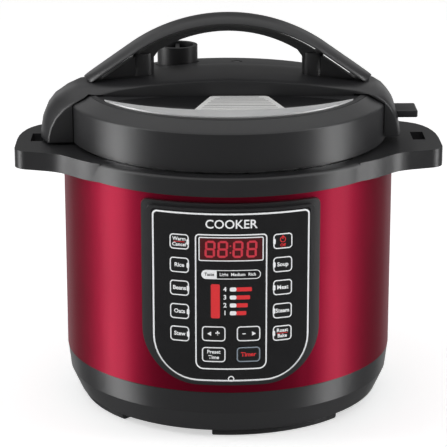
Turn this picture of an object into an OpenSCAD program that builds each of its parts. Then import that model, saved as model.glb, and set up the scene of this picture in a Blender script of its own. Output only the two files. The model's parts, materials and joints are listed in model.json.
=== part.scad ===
// Electric pressure cooker: a drum-shaped worktop cooker with a twist-lock lid.
// Origin on the worktop under the pot's axis, +Z up, the control panel towards -Y. Millimetres.

/* [Shell] */
// Outer radius of the painted shell
shell_r = 130; // [125:0.5:135]
// Height of the seam between the base and the shell
seam_z = 40; // [36:0.5:44]
// Height of the shell's top edge
shell_top_z = 194.4; // [188:0.2:196]
// Thickness of the painted sheet steel
shell_t = 0.8; // [0.6:0.1:1]

/* [Base] */
// Radius of the base at its underside
base_r = 120.5; // [116:0.5:122]
// Height of the crease round the base
crease_z = 22.5; // [18:0.5:26]
// Radius of the base at the crease
crease_r = 127.8; // [126:0.2:128.4]
// Height of the base's underside above the worktop
base_z = 5; // [4:0.5:6]
// Outer radius of the arc-shaped feet
foot_r = 118; // [114:0.5:118]
// Sweep of each foot, in degrees
foot_sweep = 52; // [30:2:60]

/* [Collar] */
// Outer radius of the collar
collar_r = 133.5; // [132:0.5:135]
// Height of the collar's top face
collar_top_z = 209; // [208:0.5:210]
// Half the width over the two carrying lugs
lug_x = 166; // [163:0.5:172]
// Front edge of a lug, at its outer corner
lug_front_y = -52; // [-56:1:-48]

/* [Lid] */
// Outer radius of the lid's skirt
skirt_r = 124.5; // [123:0.5:125]
// Height of the skirt's bottom edge
skirt_z = 211.5; // [211:0.5:212.5]
// Height of the skirt's top edge
shoulder_z = 240.5; // [238:0.5:242]
// Radius where the shoulder meets the domed top
dome_r = 111.5; // [109:0.5:113]
// Height of the dome at its edge
dome_edge_z = 247.5; // [246.5:0.5:248]
// Height of the dome at the axis
dome_top_z = 259.5; // [258:0.5:260]
// Height of the inset gloss disc's face
disc_z = 248; // [247.8:0.1:248.4]
// Number of bayonet teeth round the chamber's rim, and of hooks under the lid
bayonet_teeth = 6; // [5:1:7]

/* [Handle] */
// Height of the crown of the grip
grip_top_z = 306.8; // [304:0.2:312]
// Radius of the grip's outer arc
grip_arc_r = 134; // [126:1:140]
// Half the front-to-back depth of the grip
grip_half_y = 17; // [14:0.5:18]
// Half the front-to-back depth of the saddle under the grip
saddle_half_y = 32; // [28:0.5:34]
// Outer face of the left leg
left_leg_x = 147.5; // [144:0.5:150]
// Outer face of the right leg
right_leg_x = 135.6; // [134:0.2:140]
// Crown of the saddle
saddle_top_z = 262.3; // [261.5:0.1:263]
// Reach of the tab that parks the lid in a lug
park_tab_x = 149; // [146:0.5:154]

/* [Panel] */
// Outer radius of the panel's frame
panel_r = 136.5; // [136:0.1:137]
// Half the width of the frame
panel_half_x = 66.8; // [64:0.2:68]
// Bottom of the frame
panel_z0 = 47.5; // [46:0.5:50]
// Top of the frame
panel_z1 = 189.5; // [186:0.5:190]
// Azimuth of the two side columns of keys, in degrees
key_column_a = 16.4; // [15.5:0.1:17]
// Gap round a key
key_gap = 0.3; // [0.2:0.05:0.5]

/* [Pot] */
// Outer radius of the inner pot's wall
pot_r = 106.8; // [104:0.2:107.4]
// Wall of the inner pot
pot_t = 1.2; // [0.8:0.1:1.6]
// Height of the inner pot's underside
pot_z = 76; // [76:0.5:80]
// Height of the inner pot's rim
rim_z = 215.3; // [215:0.1:215.4]

/* [Fits] */
// Radial clearance of a turning or sliding stem in its bore
running_gap = 0.06; // [0.02:0.01:0.1]

/* [Hidden] */
$fn = 180;

charcoal = "#2b2b2d";
soft_black = "#1c1c1e";
crimson = "#a3122c";
steel = "#c3c5c8";
board_green = "#2f6b45";

// Feet
foot_in_r = foot_r - 14;
foot_start_a = -97;
// Bottom cover and its screws
cover_r = 96;
cover_t = 1.8;
cover_screw_r = 91;
// Bayonet and pressure lid
rim_r = 111;
housing_r = 110;
housing_t = 1.4;
housing_z = 62;
tooth_out_r = 115.4;
tooth_sweep = 27;
tooth_pitch = 360 / bayonet_teeth;
gap_half_a = (tooth_pitch - tooth_sweep) / 2;
tooth_z0 = 211;
tooth_z1 = 214;
cap_r = 119;
cap_t = 2;
cap_z1 = 228;
cap_z0 = 204.5;
hook_in_r = 111.3;
hook_z0 = 206;
hook_z1 = 209.4;
// Places on the lid
vent_xy = [-40, 60];
float_xy = [8, 55];
lid_screw_r = 80;
post_x = 66.5;
// Drain of the collar's rear ledge, over the collector
drain_y = 136.2;
// Places under the pot
plate_r = 84;
plate_z0 = 64.5;
plate_z1 = 75.8;
sensor_stem_r = 5;
terminal_x = 60;
terminal_y = 18;
// Power inlet
inlet_z = 26.3;
inlet_y = 124.6;
// Panel heights
face_in_r = 134.2;
face_out_r = 135.9;
key_back_r = 132.8;
key_out_r = 136.2;
display_half_x = 23.3;
display_z0 = 147;
display_z1 = 164;
key_rows = [160.3, 142.2, 124.3, 106, 88.3];
side_key = [15.2, 12.3];
centre_key = [18.1, 12.3];
centre_key_a = 5.5;
centre_rows = [89.5, 73];
// Dome: the sphere through the dome's edge and crown
dome_rise = dome_top_z - dome_edge_z;
dome_sphere_r = (dome_r * dome_r + dome_rise * dome_rise) / (2 * dome_rise);

// Points along an arc in a plane, from angle a0 to a1
function arc(cx, cy, r, a0, a1, n) =
    [for (i = [0:n]) let (a = a0 + (a1 - a0) * i / n) [cx + r * cos(a), cy + r * sin(a)]];

// A tube between two radii and two heights
module tube(r_out, r_in, z0, z1) {
    translate([0, 0, z0]) difference() {
        cylinder(r = r_out, h = z1 - z0);
        translate([0, 0, -1]) cylinder(r = r_in, h = z1 - z0 + 2);
    }
}

module disc_at(r, z0, z1) {
    translate([0, 0, z0]) cylinder(r = r, h = z1 - z0);
}

// A rounded rectangle with one radius at the top and another at the bottom
module rounded(half_x, z0, z1, r_top, r_bottom) {
    translate([-half_x, z0 + r_bottom]) square([2 * half_x, z1 - z0 - r_top - r_bottom]);
    translate([-half_x + r_bottom, z0]) square([2 * (half_x - r_bottom), r_bottom + 1]);
    translate([-half_x + r_top, z1 - r_top - 1]) square([2 * (half_x - r_top), r_top + 1]);
    for (s = [-1, 1]) {
        translate([s * (half_x - r_bottom), z0 + r_bottom]) circle(r_bottom);
        translate([s * (half_x - r_top), z1 - r_top]) circle(r_top);
    }
}

// An outline in X and Z, run along Y from y0 to y1
module along_y(y0, y1) {
    translate([0, y1, 0]) rotate([90, 0, 0]) linear_extrude(y1 - y0) children();
}

// The part of a tube that faces the user through an outline
module panel_patch(r_out, r_in, z0, z1) {
    intersection() {
        tube(r_out, r_in, z0, z1);
        along_y(-150, -60) children();
    }
}

module slot_cut(r0, r1, w) {
    translate([r0, -w / 2, base_z - 1]) cube([r1 - r0, w, 4]);
}

// ---------- base ----------

// Half section of the base, solid to the axis
module base_side() {
    polygon([[0, base_z + 1], [base_r - 0.2, base_z + 1], [crease_r - 0.1, crease_z],
             [shell_r - 0.4, seam_z - 0.5], [0, seam_z - 0.5]]);
}

module base_housing() {
    color(charcoal) difference() {
        union() {
            rotate_extrude() polygon([
                [97, base_z], [base_r - 2, base_z], [base_r, base_z + 1.2],
                [crease_r, crease_z], [shell_r - 0.3, seam_z - 0.6], [shell_r - 0.3, seam_z],
                [shell_r - 1.1, seam_z], [shell_r - 1.1, seam_z + 5], [shell_r - 3.1, seam_z + 5],
                [shell_r - 3.1, seam_z - 1], [crease_r - 2.6, crease_z], [base_r - 2, base_z + 2.5],
                [97, base_z + 2.5], [97, base_z + 4.3], [86, base_z + 4.3], [86, base_z + cover_t],
                [97, base_z + cover_t]
            ]);
            for (a = [45:90:315]) rotate(a) translate([cover_screw_r, 0, base_z + cover_t])
                cylinder(r = 4, h = 14, $fn = 32);
            intersection() {
                translate([-30, inlet_y - 3, base_z + 5]) cube([60, 3, seam_z - base_z - 5.5]);
                rotate_extrude() base_side();
            }
        }
        for (a = [45:90:315]) rotate(a) translate([cover_screw_r, 0, base_z])
            cylinder(r = 1.3, h = 13, $fn = 32);
        translate([-25.6, inlet_y, inlet_z - 11.9]) cube([51.2, 20, 23.8]);
        translate([-14.1, inlet_y - 10, inlet_z - 10]) cube([28.2, 20, 20]);
        for (s = [-1, 1]) translate([20 * s, inlet_y + 5, inlet_z])
            rotate([90, 0, 0]) cylinder(r = 1.3, h = 20, $fn = 32);
    }
}

module bottom_cover() {
    color(soft_black) difference() {
        union() {
            disc_at(cover_r, base_z, base_z + cover_t);
            for (x = [-48, 48], y = [-48, 16]) translate([x, y, base_z + cover_t])
                cylinder(r = 3.5, h = 7.2, $fn = 32);
        }
        for (a = [45:90:315]) rotate(a) translate([cover_screw_r, 0, base_z - 1])
            cylinder(r = 1.7, h = 4, $fn = 32);
        for (i = [0:7]) rotate(i * 45 + 22.5) slot_cut(18, 34, 3);
        for (i = [0:11]) rotate(i * 30) slot_cut(42, 56, 3);
        for (i = [0:19]) rotate(i * 18 + 9) slot_cut(68, 80, 3);
    }
}

module bottom_screws() {
    color(steel) for (a = [45:90:315]) rotate(a) translate([cover_screw_r, 0, base_z]) {
        translate([0, 0, -1.6]) cylinder(r = 3, h = 1.6, $fn = 32);
        cylinder(r = 1.2, h = 12, $fn = 32);
    }
}

module feet() {
    color(soft_black) for (i = [0:3]) rotate(foot_start_a + 90 * i) rotate_extrude(angle = foot_sweep)
        polygon(concat(
            [[foot_in_r, base_z], [foot_in_r, 1.5], [foot_in_r + 1.5, 0]],
            arc(foot_r - 3, 3, 3, -90, 0, 6),
            [[foot_r, base_z]]
        ));
}

// ---------- shell and collar ----------

module outer_shell() {
    color(crimson) difference() {
        tube(shell_r, shell_r - shell_t, seam_z + 0.3, shell_top_z);
        along_y(-150, -60) rounded(44, 68, 178, 4, 4);
    }
}

module lug_outline() {
    polygon(concat(
        [[90, -90], [98, -90.4], [105, -85.8], [112, -79.8], [118, -73.6], [124, -67], [129, -62.4],
         [134, -59.2], [140, -56.6], [147, -54.4]],
        arc(lug_x - 13, lug_front_y + 13, 13, -80, 0, 9),
        [[lug_x, -12], [lug_x - 0.7, 0], [lug_x - 2.3, 10], [lug_x - 5.1, 20], [lug_x - 8.7, 28],
         [lug_x - 13.6, 34.6], [lug_x - 20, 39.6], [lug_x - 28, 43.8], [lug_x - 37, 49.6],
         [lug_x - 45, 56.6], [lug_x - 52, 66], [90, 66]]
    ));
}

module collar() {
    color(charcoal) difference() {
        union() {
            rotate_extrude() polygon(concat(
                [[110.1, 197.5], [shell_r - 3.2, 197.5], [shell_r - 3.2, 188], [shell_r - 1.1, 188],
                 [shell_r - 1.1, shell_top_z + 0.2], [collar_r, shell_top_z + 0.2]],
                arc(collar_r - 3, collar_top_z - 3, 3, 0, 90, 6),
                [[121.5, collar_top_z], [120.5, 201], [110.1, 201]]
            ));
            difference() {
                translate([0, 0, shell_top_z + 0.2])
                    linear_extrude(collar_top_z - shell_top_z - 0.2) union() {
                        lug_outline();
                        mirror([1, 0]) lug_outline();
                        translate([-26, 110]) square([52, 31]);
                    }
                disc_at(128, 150, 230);
            }
            translate([0, drain_y, 191]) cylinder(r = 3.3, h = 5, $fn = 32);
        }
        for (s = [-1, 1]) translate([150 * s - 5, -19, 180]) cube([10, 25, 40]);
        translate([-3.5, 112, 201]) cube([7, drain_y - 112, 4]);
        translate([0, drain_y, 180]) cylinder(r = 2.3, h = 25, $fn = 32);
    }
}

module collector_bracket() {
    color(soft_black) intersection() {
        union() {
            tube(shell_r + 1.2, shell_r + 0.05, 150, 186);
            difference() {
                tube(shell_r + 6, shell_r + 0.05, 150, 186);
                translate([-27.3, 100, 140]) cube([54.6, 60, 60]);
            }
        }
        translate([-29.3, 100, 140]) cube([58.6, 60, 60]);
    }
}

module dew_collector() {
    color("#d8dde0", 0.6) difference() {
        intersection() {
            tube(141, shell_r + 1.6, 138, 193.4);
            translate([-27, 100, 130]) cube([54, 60, 80]);
        }
        intersection() {
            tube(139.8, shell_r + 2.8, 139.4, 200);
            translate([-25.8, 100, 130]) cube([51.6, 60, 80]);
        }
    }
}

// ---------- chamber and heater ----------

module teeth(r_out, r_in, z0, z1) {
    for (i = [0:bayonet_teeth - 1]) rotate(i * tooth_pitch - tooth_sweep / 2)
        rotate_extrude(angle = tooth_sweep)
            translate([r_in, z0]) square([r_out - r_in, z1 - z0]);
}

module pot_housing() {
    color(steel) difference() {
        rotate_extrude() polygon([
            [22, housing_z], [housing_r, housing_z], [housing_r, tooth_z0], [tooth_out_r, tooth_z0],
            [tooth_out_r, tooth_z1], [housing_r - housing_t, tooth_z1],
            [housing_r - housing_t, housing_z + housing_t], [22, housing_z + housing_t]
        ]);
        difference() {
            for (i = [0:bayonet_teeth - 1]) rotate((i + 0.5) * tooth_pitch)
                translate([0, 0, tooth_z0 - 1]) linear_extrude(tooth_z1 - tooth_z0 + 2)
                    polygon([[90, -90 * tan(gap_half_a)], [130, -130 * tan(gap_half_a)],
                             [130, 130 * tan(gap_half_a)], [90, 90 * tan(gap_half_a)]]);
            disc_at(housing_r, 190, 230);
        }
        for (s = [-1, 1]) translate([terminal_x, s * terminal_y, housing_z - 2])
            cylinder(r = 5.5, h = 6, $fn = 32);
    }
}

module heat_shield() {
    color("#b9babc") union() {
        tube(116, 115.4, 60, 196);
        tube(115.6, housing_r + 0.1, 60, 60.8);
    }
}

module heating_plate() {
    color("#9a9c9f") difference() {
        rotate_extrude() polygon([
            [18, plate_z0], [30, plate_z0], [32, plate_z0 + 5], [52, plate_z0 + 5],
            [54, housing_z + housing_t], [70, housing_z + housing_t], [72, plate_z0 + 5],
            [plate_r, plate_z0 + 5], [plate_r, plate_z1 - 1.5], [plate_r - 1.5, plate_z1],
            [18, plate_z1]
        ]);
    }
}

module heater_terminals() {
    color("#d9d4c8") for (s = [-1, 1]) translate([terminal_x, s * terminal_y, 0]) {
        translate([0, 0, 50]) cylinder(r = 3.4, h = housing_z + housing_t - 50, $fn = 32);
        translate([-0.4, -3, 42]) cube([0.8, 6, 8.5]);
    }
}

module sensor_bracket() {
    color(steel) difference() {
        union() {
            translate([-30, -10, 54]) cube([60, 20, 1.5]);
            disc_at(8.2, 52, 58);
            for (s = [-1, 1]) translate([s * 29.25 - 0.75, -10, 54]) cube([1.5, 20, housing_z - 54]);
        }
        disc_at(sensor_stem_r + running_gap, 50, 60);
    }
}

module thermal_sensor() {
    color("#b0b2b5") union() {
        disc_at(14, 72, 75.7);
        disc_at(sensor_stem_r, 46, 72.5);
        disc_at(7, 44.5, 46.5);
    }
}

module sensor_spring() {
    color(steel) tube(10.4, 8.8, 55.6, 71.9);
}

module pressure_switch() {
    color(soft_black) union() {
        translate([-12, -52, 51]) cube([24, 12, 8]);
        translate([0, -46, 59]) cylinder(r = 2.4, h = housing_z - 59, $fn = 32);
        for (s = [-1, 1]) translate([s * 8 - 0.4, -49, 45]) cube([0.8, 6, 6.5]);
    }
}

module thermal_fuse() {
    color("#d8c9a0") union() {
        translate([-14, 46, 58.8]) rotate([0, 90, 0]) cylinder(r = 3.2, h = 28, $fn = 32);
        for (s = [-1, 1]) translate([s * 17 - 3, 45.6, 58.4]) cube([6, 0.8, 0.8]);
    }
}

module power_board() {
    color(board_green) union() {
        translate([-55, -55, base_z + cover_t + 7.2]) cube([110, 78, 1.6]);
        translate([-48, -20, 15.4]) cube([30, 24, 22]);
        translate([-6, -46, 15.4]) cube([20, 16, 16]);
        translate([26, -34, 15.4]) cylinder(r = 8, h = 24, $fn = 32);
        translate([24, 0, 15.4]) cube([26, 14, 14]);
    }
}

// ---------- control panel ----------

module panel_opening() {
    rounded(49, 80.5, 168, 3, 3);
    rounded(24.5, 64.5, 90, 3, 3);
}

module panel_bezel() {
    color(charcoal) difference() {
        union() {
            panel_patch(133.4, shell_r + 0.1, 40, 200) rounded(panel_half_x, panel_z0, panel_z1, 5, 42);
            panel_patch(panel_r, 133.2, 40, 200)
                rounded(panel_half_x - 4.4, panel_z0 + 2, panel_z1 - 3.2, 4, 38);
            for (x = [-35, 35], z = [75, 172]) translate([x, -132, z])
                rotate([-90, 0, 0]) cylinder(r = 3, h = 8.7, $fn = 32);
        }
        panel_patch(panel_r + 4, face_in_r, 40, 200)
            rounded(panel_half_x - 7.5, panel_z0 + 3.9, panel_z1 - 5, 3, 35);
        along_y(-150, -60) panel_opening();
    }
}

module side_key_prism(row, side, grow) {
    rotate(side * key_column_a) along_y(-150, -key_back_r)
        translate([0, key_rows[row]]) rounded(side_key[0] / 2 + grow, -side_key[1] / 2 - grow,
                                              side_key[1] / 2 + grow, 3, 3);
}

module centre_key_prism(row, side, grow) {
    rotate(side * centre_key_a) along_y(-150, -key_back_r)
        translate([0, centre_rows[row]]) rounded(centre_key[0] / 2 + grow, -centre_key[1] / 2 - grow,
                                                 centre_key[1] / 2 + grow, 3, 3);
}

module panel_face() {
    color("#141416") difference() {
        panel_patch(face_out_r, face_in_r, 40, 200)
            rounded(panel_half_x - 7.6, panel_z0 + 4, panel_z1 - 5.1, 3, 35);
        along_y(-150, -60) rounded(display_half_x, display_z0, display_z1, 1.5, 1.5);
        for (side = [-1, 1]) {
            for (row = [0:4]) side_key_prism(row, side, key_gap);
            for (row = [0:1]) centre_key_prism(row, side, key_gap);
        }
    }
}

module display_window() {
    color("#3a1014") panel_patch(face_out_r + 0.1, face_in_r, 40, 200)
        rounded(display_half_x, display_z0, display_z1, 1.5, 1.5);
}

module display_module() {
    color("#202022") translate([-23.4, -131.4, 147.3]) cube([46.8, 8.1, 16.4]);
}

module switch_membrane() {
    color("#8f9296") difference() {
        panel_patch(132, 131.2, 40, 200) panel_opening();
        along_y(-150, -60) rounded(24, 146.6, 164.4, 1, 1);
    }
}

module control_board() {
    color(board_green) difference() {
        union() {
            translate([-40, -123.3, 68]) cube([80, 1.6, 108]);
            translate([-10, -121.8, 104]) cube([20, 2.6, 20]);
        }
        for (x = [-35, 35], z = [75, 172]) translate([x, -130, z])
            rotate([-90, 0, 0]) cylinder(r = 1.4, h = 20, $fn = 32);
    }
}

module side_key(row, side) {
    color("#1a1a1c") intersection() {
        side_key_prism(row, side, 0);
        disc_at(key_out_r, 60, 180);
    }
}

module centre_key(row, side) {
    color("#1a1a1c") intersection() {
        centre_key_prism(row, side, 0);
        disc_at(key_out_r, 60, 180);
    }
}

// ---------- power inlet ----------

module power_inlet() {
    color(soft_black) union() {
        difference() {
            union() {
                translate([-25, inlet_y, inlet_z - 11.5]) cube([50, 2.2, 23]);
                translate([-13.6, inlet_y - 22, inlet_z - 9.5]) cube([27.2, 22.5, 19]);
            }
            translate([-12, inlet_y - 17, inlet_z - 8]) cube([24, 30, 16]);
            for (s = [-1, 1]) translate([20 * s, inlet_y + 5, inlet_z])
                rotate([90, 0, 0]) cylinder(r = 1.8, h = 12, $fn = 32);
        }
        for (x = [-7, 0, 7]) translate([x - 1, inlet_y - 18, inlet_z - 2 + (x == 0 ? 3 : 0)])
            cube([2, 16, 4]);
    }
}

module inlet_screws() {
    color(steel) for (s = [-1, 1]) translate([20 * s, inlet_y + 2.2, inlet_z]) {
        rotate([-90, 0, 0]) cylinder(r = 3, h = 1.6, $fn = 32);
        rotate([90, 0, 0]) cylinder(r = 1.2, h = 8, $fn = 32);
    }
}

// ---------- pot and seal ----------

module inner_pot() {
    color(steel) rotate_extrude() polygon(concat(
        [[0, pot_z]],
        arc(pot_r - 12, pot_z + 12, 12, -90, 0, 8),
        [[pot_r, rim_z - 1.2], [rim_r, rim_z - 1.2], [rim_r, rim_z], [pot_r - pot_t, rim_z]],
        arc(pot_r - 12, pot_z + 12, 12 - pot_t, 0, -90, 8),
        [[0, pot_z + pot_t]]
    ));
}

module sealing_ring() {
    color("#d9d9d6") rotate_extrude() polygon([
        [103, 215.6], [112, 215.6], [113.5, 217.5], [115.8, 225.8], [103, 225.8], [103, 223.4],
        [111, 223.4], [111, 218.6], [103, 218.6]
    ]);
}

module ring_rack() {
    color(steel) union() {
        rotate_extrude() translate([101.8, 221]) circle(1.2, $fn = 24);
        for (i = [0:5]) rotate(i * 60 + 30) translate([101.8, 0, 221]) cylinder(r = 1, h = 4.8, $fn = 16);
    }
}

// ---------- lid ----------

module dome_solid(sink) {
    intersection() {
        translate([0, 0, dome_top_z - dome_sphere_r]) sphere(r = dome_sphere_r - sink, $fn = 200);
        disc_at(dome_r - 0.5, 225, 262);
    }
}

// Plan of the inset disc: inside the groove and in front of its bowed back edge
module disc_plan(edge) {
    intersection() {
        circle(108 - edge);
        translate([0, -251.6]) circle(221.6 - edge);
        translate([-120, -120]) square([240, 120 - saddle_half_y - 0.4 - edge]);
    }
}

module saddle_channel(z0) {
    intersection() {
        translate([-130, -saddle_half_y - 0.3, z0]) cube([260, 2 * saddle_half_y + 0.6, 40]);
        disc_at(107.5, 225, 275);
    }
}

module lid_cover() {
    color(charcoal) difference() {
        union() {
            rotate_extrude() polygon([
                [skirt_r - 2.5, skirt_z], [skirt_r, skirt_z], [skirt_r, shoulder_z - 1],
                [skirt_r - 1, shoulder_z + 0.6], [dome_r, dome_edge_z], [dome_r - 0.8, dome_edge_z - 0.6],
                [dome_r - 3, dome_edge_z - 0.6], [dome_r - 3, dome_edge_z - 4],
                [dome_r - 1, dome_edge_z - 4], [skirt_r - 2.5, shoulder_z - 2]
            ]);
            difference() {
                dome_solid(0);
                dome_solid(3);
                disc_at(dome_r - 3.6, 200, dome_edge_z - 4);
            }
            intersection() {
                dome_solid(0);
                union() {
                    translate([-120, -120, 242.4]) cube([240, 120 + saddle_half_y + 2.6, 3]);
                    translate([-120, saddle_half_y + 0.3, 242.4]) cube([240, 2.3, 20]);
                    translate([-120, -60, 242.4]) cube([240, 60 - saddle_half_y - 0.3, 5]);
                }
            }
            for (a = [45:90:315]) rotate(a) translate([lid_screw_r, 0, cap_z1])
                cylinder(r = 4.5, h = 15, $fn = 32);
        }
        saddle_channel(245.2);
        translate([0, 0, disc_z - 2]) linear_extrude(40) disc_plan(0);
        translate([0, 0, 247.6]) intersection() {
            disc_at(107.5, 0, 40);
            translate([-120, -121, 0]) cube([240, 121 - saddle_half_y, 40]);
        }
        translate([vent_xy[0], vent_xy[1], 225]) cylinder(r = 17.6, h = 50);
        translate([float_xy[0], float_xy[1], 225]) cylinder(r = 4.8, h = 50, $fn = 48);
        for (s = [-1, 1]) translate([s * post_x, 0, 230]) cylinder(r = 2.3, h = 20, $fn = 32);
        for (a = [45:90:315]) rotate(a) translate([lid_screw_r, 0, cap_z1 - 2])
            cylinder(r = 1.3, h = 14, $fn = 32);
    }
}

module lid_disc() {
    color("#0c0c0d") translate([0, 0, disc_z - 2]) linear_extrude(2) disc_plan(0.1);
}

module silver_trim() {
    color("#d5d7da") translate([0, 0, disc_z]) linear_extrude(1.2) difference() {
        circle(107.4);
        translate([0, 57]) circle(143);
        translate([-120, -49.7]) square([240, 180]);
    }
}

module lid_label() {
    color("#e4e4e2") translate([0, 0, disc_z]) linear_extrude(0.25) intersection() {
        translate([8, 0]) polygon([[-34, -84], [34, -84], [35.2, -81.6], [22.6, -37], [20, -35],
                                   [-20, -35], [-22.6, -37], [-35.2, -81.6]]);
        translate([0, 57]) circle(142.8);
    }
}

module inner_lid() {
    color(steel) difference() {
        union() {
            disc_at(cap_r, cap_z1 - cap_t, cap_z1);
            tube(cap_r, cap_r - 2, cap_z0, cap_z1);
            teeth(cap_r - 1.5, hook_in_r, hook_z0, hook_z1);
        }
        translate([vent_xy[0], vent_xy[1], 220]) cylinder(r = 5.1, h = 12, $fn = 48);
        translate([float_xy[0], float_xy[1], 220]) cylinder(r = 3 + running_gap, h = 12, $fn = 48);
        for (a = [45:90:315]) rotate(a) translate([lid_screw_r, 0, 220]) cylinder(r = 1.7, h = 12, $fn = 32);
    }
}

module lid_screws() {
    color(steel) for (a = [45:90:315]) rotate(a) translate([lid_screw_r, 0, cap_z1 - cap_t]) {
        translate([0, 0, -1.8]) cylinder(r = 3.2, h = 1.8, $fn = 32);
        cylinder(r = 1.2, h = 12, $fn = 32);
    }
}

module exhaust_pipe() {
    color(steel) translate([vent_xy[0], vent_xy[1], 0]) difference() {
        union() {
            disc_at(5, 222, 256);
            disc_at(9, 223.6, 226);
        }
        disc_at(2.4, 215, 260);
    }
}

module pipe_nut() {
    color(steel) translate([vent_xy[0], vent_xy[1], cap_z1]) difference() {
        cylinder(r = 9, h = 5, $fn = 6);
        translate([0, 0, -1]) cylinder(r = 5.02, h = 8, $fn = 48);
    }
}

module anti_block_shield() {
    color(steel) translate([vent_xy[0], vent_xy[1], 0]) difference() {
        union() {
            tube(13, 12.1, 208, 226);
            disc_at(13, 208, 209);
        }
        for (a = [0:30:150]) rotate(a) translate([-20, -1.5, 211]) cube([40, 3, 9]);
        for (a = [0:60:300]) rotate(a) translate([8, 0, 200]) cylinder(r = 1.6, h = 12, $fn = 24);
    }
}

module steam_knob() {
    color(soft_black) translate([vent_xy[0], vent_xy[1], 0]) difference() {
        union() {
            difference() {
                disc_at(16.3, 240, 269.5);
                disc_at(13, 258.5, 272);
            }
            translate([-1.6, -15, 256]) cube([3.2, 30, 11.5]);
        }
        disc_at(5 + running_gap, 235, 256.5);
    }
}

module float_valve() {
    color(steel) translate([float_xy[0], float_xy[1], 0]) union() {
        disc_at(3, 217, 248);
        disc_at(5.6, 215.4, 217.4);
        disc_at(4.2, 246, 255.6);
    }
}

module float_seal() {
    color("#d0d0cc") translate([float_xy[0], float_xy[1], 0]) tube(5.4, 3, 217.4, 219.4);
}

// ---------- handle ----------

// Points of the grip's outer arc, ending on its straight flank at half width x
grip_arc_a = 33.5;
grip_end_x = 113;
function grip_line(drop, end_x) =
    let (cz = grip_top_z - grip_arc_r,
         r = grip_arc_r - drop,
         tx = r * sin(grip_arc_a),
         tz = cz + r * cos(grip_arc_a))
    concat(
        [[-end_x, tz - (end_x - tx) * tan(grip_arc_a + 1.4)]],
        [for (i = [-12:12]) let (a = grip_arc_a * i / 12) [r * sin(a), cz + r * cos(a)]],
        [[end_x, tz - (end_x - tx) * tan(grip_arc_a + 1.4)]]
    );
function reversed(p) = [for (i = [len(p) - 1:-1:0]) p[i]];

module handle_grip() {
    color(charcoal) intersection() {
        along_y(-grip_half_y, grip_half_y)
            polygon(concat(grip_line(0, grip_end_x), reversed(grip_line(6, grip_end_x - 1))));
        translate([-130, -40, 256.2]) cube([260, 80, 60]);
    }
}

// Saddle and legs in the front view, at the front and rear edges
module saddle_edge() {
    polygon([
        [-left_leg_x + 7, 211], [-left_leg_x + 8.4, 220.4], [-left_leg_x + 13.3, 229.9],
        [-left_leg_x + 19.7, 237.1], [-left_leg_x + 26.8, 242.2], [-112, 247], [-99, 250.4], [-86, 253],
        [-60, 256.4], [-29, 259], [0, 260], [29, 259], [60, 256.8], [85.7, 254], [99.7, 251.9],
        [right_leg_x - 28.9, 250.4], [right_leg_x - 21.8, 247.9], [right_leg_x - 14.7, 243.4],
        [right_leg_x - 9.7, 238], [right_leg_x - 6.8, 233], [right_leg_x - 4.9, 227.2],
        [right_leg_x - 3.1, 217], [right_leg_x - 2.9, 215]
    ]);
}

// The same through the middle, where the saddle is crowned
module saddle_crown() {
    polygon([
        [-left_leg_x, 211], [-left_leg_x + 0.2, 216.5], [-left_leg_x + 1.8, 226.3],
        [-left_leg_x + 5.6, 235.4], [-left_leg_x + 11.1, 242.5], [-127.1, 249], [-117.3, 253.4],
        [-60, 258.9], [-30, 261.2], [0, saddle_top_z], [30, 261.2], [60, 258.9],
        [right_leg_x - 20.4, 253.2], [right_leg_x - 14, 249.4], [right_leg_x - 9.6, 244.6],
        [right_leg_x - 6, 239.2], [right_leg_x - 4, 234.1], [right_leg_x - 2.1, 226.8],
        [right_leg_x - 1.2, 221.6], [right_leg_x, 215]
    ]);
}

// Room for the lid under the saddle
module lid_room() {
    rotate_extrude() polygon([
        [0, 190], [0, 245.3], [101.8, 245.3], [101.8, dome_edge_z + 1.2], [dome_r + 1, dome_edge_z + 1.2],
        [skirt_r - 0.6, shoulder_z + 1.2], [skirt_r + 0.7, shoulder_z], [skirt_r + 0.7, 190]
    ]);
}

// Lower half of the grip: under the grip cover and over the hand's gap
module lower_arch_outline() {
    difference() {
        polygon(concat(
            [[-grip_end_x + 2, 252]],
            grip_line(6, grip_end_x - 2),
            [[grip_end_x - 2, 252]]
        ));
        translate([0, 198.2]) circle(94.4);
        translate([-58, 230]) square([116, 44]);
        translate([-58, 210]) square([116, 50]);
    }
}

module handle_base() {
    color(charcoal) difference() {
        union() {
            difference() {
                hull() {
                    along_y(-saddle_half_y, -saddle_half_y + 0.5) saddle_edge();
                    along_y(-14, 14) saddle_crown();
                    along_y(saddle_half_y - 0.5, saddle_half_y) saddle_edge();
                }
                lid_room();
            }
            along_y(-6, 6) intersection() {
                lower_arch_outline();
                translate([-130, 252]) square([260, 70]);
            }
            along_y(-grip_half_y + 1, grip_half_y - 1) difference() {
                lower_arch_outline();
                polygon(concat(
                    [[-grip_end_x, 200]],
                    [for (i = [-12:12]) let (a = 3.6 * i)
                        [(grip_arc_r - 17) * sin(a), grip_top_z - grip_arc_r + (grip_arc_r - 17) * cos(a)]],
                    [[grip_end_x, 200]]
                ));
            }
            for (s = [-1, 1]) translate([s * post_x, 0, 252]) cylinder(r = 8.5, h = 24, $fn = 48);
            translate([right_leg_x - 4, -13, 225]) cube([park_tab_x - right_leg_x + 4, 26, 6.3]);
        }
        for (s = [-1, 1]) translate([s * post_x, 0, 240]) cylinder(r = 2.1, h = 26, $fn = 32);
    }
}

module handle_screws() {
    color(steel) for (s = [-1, 1]) translate([s * post_x, 0, 0]) {
        disc_at(2, 242.4, 264);
        disc_at(4, 240.2, 242.4);
    }
}

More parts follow.
